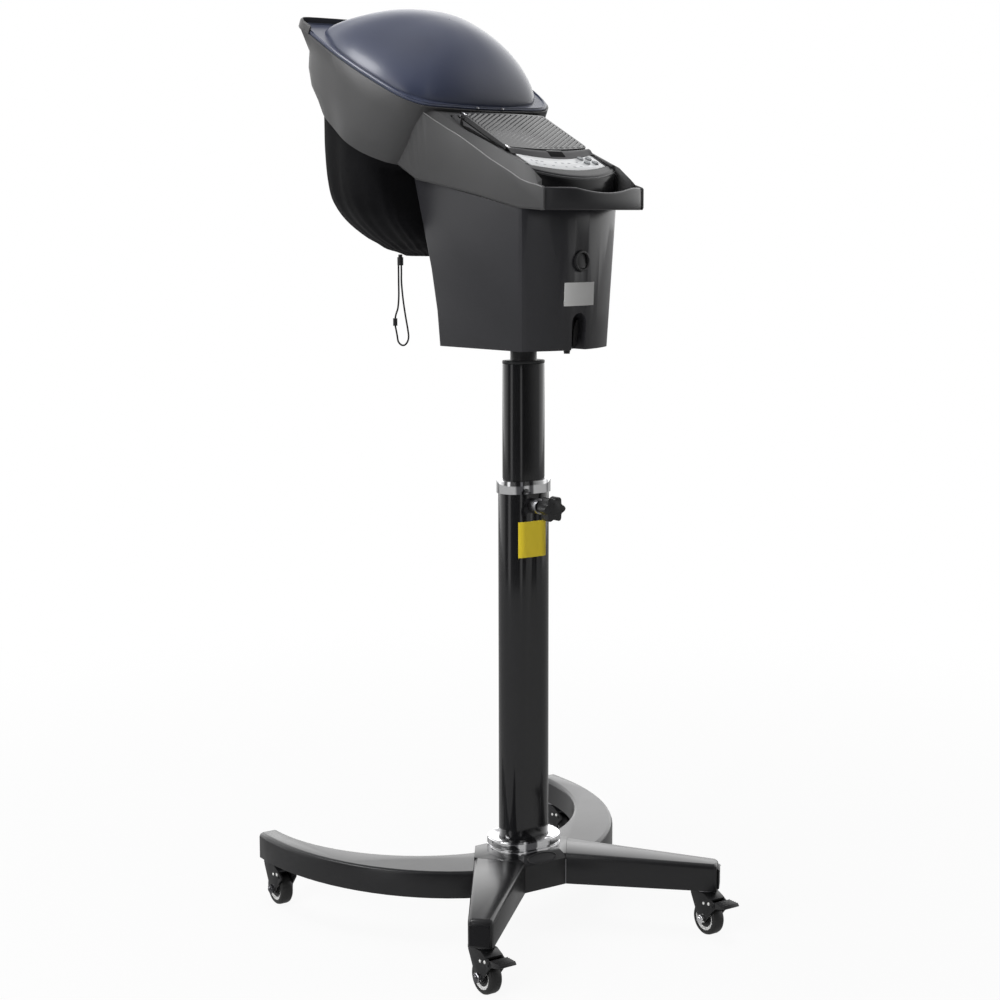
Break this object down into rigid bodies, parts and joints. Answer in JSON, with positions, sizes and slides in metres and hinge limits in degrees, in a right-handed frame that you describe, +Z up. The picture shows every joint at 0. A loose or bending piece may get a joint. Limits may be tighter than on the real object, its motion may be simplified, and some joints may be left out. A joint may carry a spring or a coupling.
{
  "type": "hair steamer",
  "caption": "Rolling hair steamer with a tinted hood, a cloth bonnet with a drawcord, a keypad pod and a water tank on a telescopic column over a crescent base",
  "frame": {"origin": "on the column's axis at floor level", "axes": "+Z up, -Y towards the operator's side (the base's front, with the straight legs), +X to the right as the operator sees it; the head is turned 8.4 degrees about +Z from facing -Y"},
  "size_m": [0.56, 0.5867, 1.3384],
  "materials": {
    "black_paint": "gloss black paint",
    "leg_paint": "gloss black paint",
    "chrome": "polished chrome",
    "steel": "plain steel",
    "aluminium": "machined",
    "black_plastic": "satin black plastic",
    "tank_plastic": "satin charcoal plastic",
    "shell_plastic": "matte dark grey plastic with a fine texture",
    "lid_plastic": "matte dark grey plastic",
    "pale_plastic": "natural white plastic",
    "keypad": "pale grey film",
    "button": "dark grey keys",
    "dome": "tinted translucent slate blue",
    "wheel": "white plastic",
    "tyre": "black rubber",
    "rubber": "black rubber",
    "cloth": "black cloth",
    "cord": "black cord",
    "copper": "heater sheath",
    "board": "green board"
  },
  "bodies": {
    "base": {"base_hub": "black_paint", "crescent": "leg_paint", "left_leg": "leg_paint", "right_leg": "leg_paint", "base_collar": "chrome", "outer_tube": "black_paint", "clamp_collar": "chrome", "guide_bush": "black_plastic", "clamp_boss": "steel", "caster_stems": "steel"},
    "lift": {"inner_tube": "black_paint", "tube_glide": "black_plastic", "swivel_spigot": "aluminium"},
    "head": {"tank_casing": "tank_plastic", "tank_floor": "black_plastic", "swivel_bush": "pale_plastic", "water_reservoir": "pale_plastic", "heating_element": "copper", "steam_duct": "pale_plastic", "circuit_board": "board", "mains_inlet": "black_plastic", "switch_bezel": "black_plastic", "drain_hose": "rubber", "plug_strap": "rubber", "pod_shell": "shell_plastic", "grip_handle": "black_plastic", "top_panel": "lid_plastic", "keypad_plate": "keypad", "lid_hinge_pin": "steel", "hood_band": "shell_plastic", "dome": "dome", "steam_ring": "pale_plastic", "bonnet": "cloth", "cord_lock": "black_plastic", "drawcord_strand": "cord", "drawcord_loop": "cord", "cord_bead": "black_plastic"},
    "knob": {"clamp_screw": "steel", "clamp_knob": "black_plastic"},
    "front_left_caster": {"front_left_fork": "black_plastic"},
    "front_left_roller": {"front_left_wheel": "wheel", "front_left_tyre": "tyre"},
    "front_left_brake": {"front_left_pedal": "black_plastic"},
    "front_right_caster": {"front_right_fork": "black_plastic"},
    "front_right_roller": {"front_right_wheel": "wheel", "front_right_tyre": "tyre"},
    "front_right_brake": {"front_right_pedal": "black_plastic"},
    "rear_left_caster": {"rear_left_fork": "black_plastic"},
    "rear_left_roller": {"rear_left_wheel": "wheel", "rear_left_tyre": "tyre"},
    "rear_right_caster": {"rear_right_fork": "black_plastic"},
    "rear_right_roller": {"rear_right_wheel": "wheel", "rear_right_tyre": "tyre"},
    "rocker": {"power_rocker": "black_plastic"},
    "key_1": {"button_1": "button"},
    "key_2": {"button_2": "button"},
    "key_3": {"button_3": "button"},
    "key_4": {"button_4": "button"},
    "lid": {"filler_lid": "lid_plastic"},
    "drain": {"drain_plug": "rubber"}
  },
  "joints": [
    {"name": "column_lift", "type": "slide", "parent": "base", "child": "lift", "axis": [0, 0, 1], "range_m": [-0.16, 0.2]},
    {"name": "head_swivel", "type": "hinge", "parent": "lift", "child": "head", "pos_m": [0, 0, 0.87], "axis": [0, 0, 1], "continuous": true},
    {"name": "clamp_knob_turn", "type": "hinge", "parent": "base", "child": "knob", "pos_m": [0, -0.05, 0.629], "axis": [0, -1, 0], "range_deg": [0, 720]},
    {"name": "front_left_swivel", "type": "hinge", "parent": "base", "child": "front_left_caster", "pos_m": [-0.19504, -0.1838, 0.0637], "axis": [0, 0, 1], "continuous": true},
    {"name": "front_left_roll", "type": "hinge", "parent": "front_left_caster", "child": "front_left_roller", "pos_m": [-0.19504, -0.1928, 0.025], "axis": [1, 0, 0], "continuous": true},
    {"name": "front_left_brake_press", "type": "hinge", "parent": "front_left_caster", "child": "front_left_brake", "pos_m": [-0.19504, -0.2148, 0.049], "axis": [1, 0, 0], "range_deg": [0, 18]},
    {"name": "front_right_swivel", "type": "hinge", "parent": "base", "child": "front_right_caster", "pos_m": [0.19504, -0.1838, 0.0637], "axis": [0, 0, 1], "continuous": true},
    {"name": "front_right_roll", "type": "hinge", "parent": "front_right_caster", "child": "front_right_roller", "pos_m": [0.19504, -0.1928, 0.025], "axis": [1, 0, 0], "continuous": true},
    {"name": "front_right_brake_press", "type": "hinge", "parent": "front_right_caster", "child": "front_right_brake", "pos_m": [0.19504, -0.2148, 0.049], "axis": [1, 0, 0], "range_deg": [0, 18]},
    {"name": "rear_left_swivel", "type": "hinge", "parent": "base", "child": "rear_left_caster", "pos_m": [-0.261, 0.284, 0.0637], "axis": [0, 0, 1], "continuous": true},
    {"name": "rear_left_roll", "type": "hinge", "parent": "rear_left_caster", "child": "rear_left_roller", "pos_m": [-0.261, 0.275, 0.025], "axis": [1, 0, 0], "continuous": true},
    {"name": "rear_right_swivel", "type": "hinge", "parent": "base", "child": "rear_right_caster", "pos_m": [0.261, 0.284, 0.0637], "axis": [0, 0, 1], "continuous": true},
    {"name": "rear_right_roll", "type": "hinge", "parent": "rear_right_caster", "child": "rear_right_roller", "pos_m": [0.261, 0.275, 0.025], "axis": [1, 0, 0], "continuous": true},
    {"name": "rocker_tilt", "type": "hinge", "parent": "head", "child": "rocker", "pos_m": [0.0167, -0.11308, 0.977], "axis": [0.9893, 0.1461, 0], "range_deg": [0, 12]},
    {"name": "button_1_press", "type": "slide", "parent": "head", "child": "key_1", "axis": [-0.0675, 0.4568, -0.887], "range_m": [0, 0.001], "stiffness_N_per_m": 300, "springref_m": -0.0003},
    {"name": "button_2_press", "type": "slide", "parent": "head", "child": "key_2", "axis": [-0.0675, 0.4568, -0.887], "range_m": [0, 0.001], "stiffness_N_per_m": 300, "springref_m": -0.0003},
    {"name": "button_3_press", "type": "slide", "parent": "head", "child": "key_3", "axis": [-0.0675, 0.4568, -0.887], "range_m": [0, 0.001], "stiffness_N_per_m": 300, "springref_m": -0.0003},
    {"name": "button_4_press", "type": "slide", "parent": "head", "child": "key_4", "axis": [-0.0675, 0.4568, -0.887], "range_m": [0, 0.001], "stiffness_N_per_m": 300, "springref_m": -0.0003},
    {"name": "lid_open", "type": "hinge", "parent": "head", "child": "lid", "pos_m": [-0.00614, 0.04158, 1.17619], "axis": [-0.9893, -0.1461, 0], "range_deg": [0, 120]},
    {"name": "drain_plug_pull", "type": "slide", "parent": "head", "child": "drain", "axis": [0, 0, -1], "range_m": [0, 0.02]}
  ]
}
